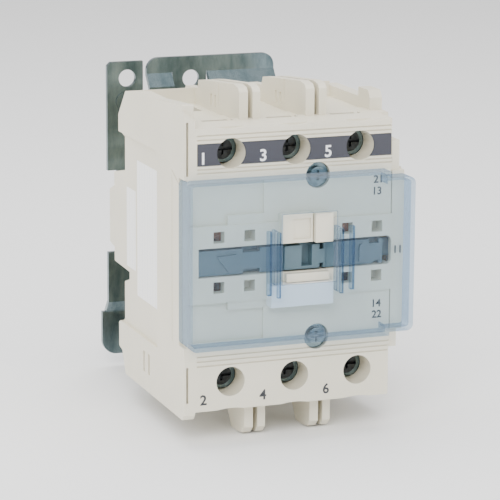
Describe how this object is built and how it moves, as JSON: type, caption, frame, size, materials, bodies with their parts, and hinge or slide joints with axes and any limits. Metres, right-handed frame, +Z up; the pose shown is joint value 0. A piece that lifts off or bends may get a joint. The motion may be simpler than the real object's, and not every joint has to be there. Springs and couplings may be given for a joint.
{
  "type": "din rail contactor",
  "caption": "Box-shaped power contactor on a zinc plate: sprung contact carrier behind a clear lift-off cover, screw terminals above and below, rail hooks and latch at the back.",
  "frame": {"origin": "on the panel plane, midway between the two fixing holes, which is also the height of the rail centre line", "axes": "front faces -Y, +X is to the right seen from the front, +Z is up"},
  "size_m": [0.087, 0.1292, 0.1299],
  "materials": {
    "zinc_steel": "zinc plated, slightly bluish",
    "ivory_plastic": "fine matte",
    "strip_grey": "satin",
    "copper": "bright copper",
    "silver": "silver alloy, satin",
    "spring_steel": "drawn wire",
    "arc_steel": "blackened sheet",
    "screw_steel": "burnished",
    "carrier_plastic": "satin blue grey",
    "core_steel": "ground laminations",
    "pad_rubber": "soft",
    "bobbin_plastic": "moulded",
    "brass": "rolled",
    "clear_plastic": "clear, glossy",
    "white_plastic": "smooth",
    "label_paper": "film label"
  },
  "bodies": {
    "housing": {"mounting_plate": "zinc_steel", "plate_screws": "zinc_steel", "latch_spring": "spring_steel", "base_housing": "ivory_plastic", "front_housing": "ivory_plastic", "upper_terminal_block": "ivory_plastic", "lower_terminal_block": "ivory_plastic", "label_strip": "strip_grey", "aux_housing": "ivory_plastic", "housing_screws": "zinc_steel", "line_contacts": "copper", "load_contacts": "copper", "fixed_tips": "silver", "arc_plates": "arc_steel", "line_cages": "zinc_steel", "load_cages": "zinc_steel", "fixed_core": "core_steel", "shading_rings": "copper", "core_pad": "pad_rubber", "coil_bobbin": "bobbin_plastic", "coil_winding": "copper", "coil_terminals": "brass", "coil_screws": "zinc_steel", "return_springs": "spring_steel", "marker_tag": "white_plastic", "side_labels": "label_paper", "aux_contacts": "brass", "aux_screws": "zinc_steel"},
    "carrier": {"contact_carrier": "carrier_plastic", "armature": "core_steel", "armature_pin": "zinc_steel", "contact_springs": "spring_steel"},
    "bridges": {"moving_bridges": "copper", "moving_tips": "silver", "aux_bridges": "brass"},
    "latch": {"din_latch": "zinc_steel"},
    "cover": {"front_cover": "clear_plastic"},
    "clamp_1": {"pad_1": "screw_steel"},
    "screw_1": {"terminal_screw_1": "screw_steel"},
    "clamp_2": {"pad_2": "screw_steel"},
    "screw_2": {"terminal_screw_2": "screw_steel"},
    "clamp_3": {"pad_3": "screw_steel"},
    "screw_3": {"terminal_screw_3": "screw_steel"},
    "clamp_4": {"pad_4": "screw_steel"},
    "screw_4": {"terminal_screw_4": "screw_steel"},
    "clamp_5": {"pad_5": "screw_steel"},
    "screw_5": {"terminal_screw_5": "screw_steel"},
    "clamp_6": {"pad_6": "screw_steel"},
    "screw_6": {"terminal_screw_6": "screw_steel"}
  },
  "joints": [
    {"name": "carrier_slide", "type": "slide", "parent": "housing", "child": "carrier", "axis": [0, 1, 0], "range_m": [0, 0.006], "stiffness_N_per_m": 800, "springref_m": -0.012, "deforming": ["return_springs"]},
    {"name": "bridge_slide", "type": "slide", "parent": "carrier", "child": "bridges", "axis": [0, -1, 0], "range_m": [0, 0.001], "deforming": ["contact_springs"]},
    {"name": "latch_slide", "type": "slide", "parent": "housing", "child": "latch", "axis": [0, 0, -1], "range_m": [0, 0.005], "stiffness_N_per_m": 600, "springref_m": -0.006, "deforming": ["latch_spring"]},
    {"name": "cover_lift", "type": "slide", "parent": "housing", "child": "cover", "axis": [0, -1, 0], "range_m": [0, 0.02]},
    {"name": "pad_1_slide", "type": "slide", "parent": "housing", "child": "clamp_1", "axis": [0, -1, 0], "range_m": [0, 0.005]},
    {"name": "screw_1_turn", "type": "hinge", "parent": "clamp_1", "child": "screw_1", "pos_m": [-0.0255, -0.106, 0.041], "axis": [0, -1, 0], "range_deg": [0, 1801]},
    {"name": "pad_2_slide", "type": "slide", "parent": "housing", "child": "clamp_2", "axis": [0, -1, 0], "range_m": [0, 0.005]},
    {"name": "screw_2_turn", "type": "hinge", "parent": "clamp_2", "child": "screw_2", "pos_m": [-0.0005, -0.106, 0.041], "axis": [0, -1, 0], "range_deg": [0, 1801]},
    {"name": "pad_3_slide", "type": "slide", "parent": "housing", "child": "clamp_3", "axis": [0, -1, 0], "range_m": [0, 0.005]},
    {"name": "screw_3_turn", "type": "hinge", "parent": "clamp_3", "child": "screw_3", "pos_m": [0.0245, -0.106, 0.041], "axis": [0, -1, 0], "range_deg": [0, 1801]},
    {"name": "pad_4_slide", "type": "slide", "parent": "housing", "child": "clamp_4", "axis": [0, -1, 0], "range_m": [0, 0.005]},
    {"name": "screw_4_turn", "type": "hinge", "parent": "clamp_4", "child": "screw_4", "pos_m": [-0.0255, -0.106, -0.0435], "axis": [0, -1, 0], "range_deg": [0, 1801]},
    {"name": "pad_5_slide", "type": "slide", "parent": "housing", "child": "clamp_5", "axis": [0, -1, 0], "range_m": [0, 0.005]},
    {"name": "screw_5_turn", "type": "hinge", "parent": "clamp_5", "child": "screw_5", "pos_m": [-0.0005, -0.106, -0.0435], "axis": [0, -1, 0], "range_deg": [0, 1801]},
    {"name": "pad_6_slide", "type": "slide", "parent": "housing", "child": "clamp_6", "axis": [0, -1, 0], "range_m": [0, 0.005]},
    {"name": "screw_6_turn", "type": "hinge", "parent": "clamp_6", "child": "screw_6", "pos_m": [0.0245, -0.106, -0.0435], "axis": [0, -1, 0], "range_deg": [0, 1801]}
  ],
  "couplings": [
    {"joint": "bridge_slide", "follows": "carrier_slide", "ratio": 0.16667},
    {"joint": "screw_1_turn", "follows": "pad_1_slide", "rad_per_m": 6283.2},
    {"joint": "screw_2_turn", "follows": "pad_2_slide", "rad_per_m": 6283.2},
    {"joint": "screw_3_turn", "follows": "pad_3_slide", "rad_per_m": 6283.2},
    {"joint": "screw_4_turn", "follows": "pad_4_slide", "rad_per_m": 6283.2},
    {"joint": "screw_5_turn", "follows": "pad_5_slide", "rad_per_m": 6283.2},
    {"joint": "screw_6_turn", "follows": "pad_6_slide", "rad_per_m": 6283.2}
  ]
}
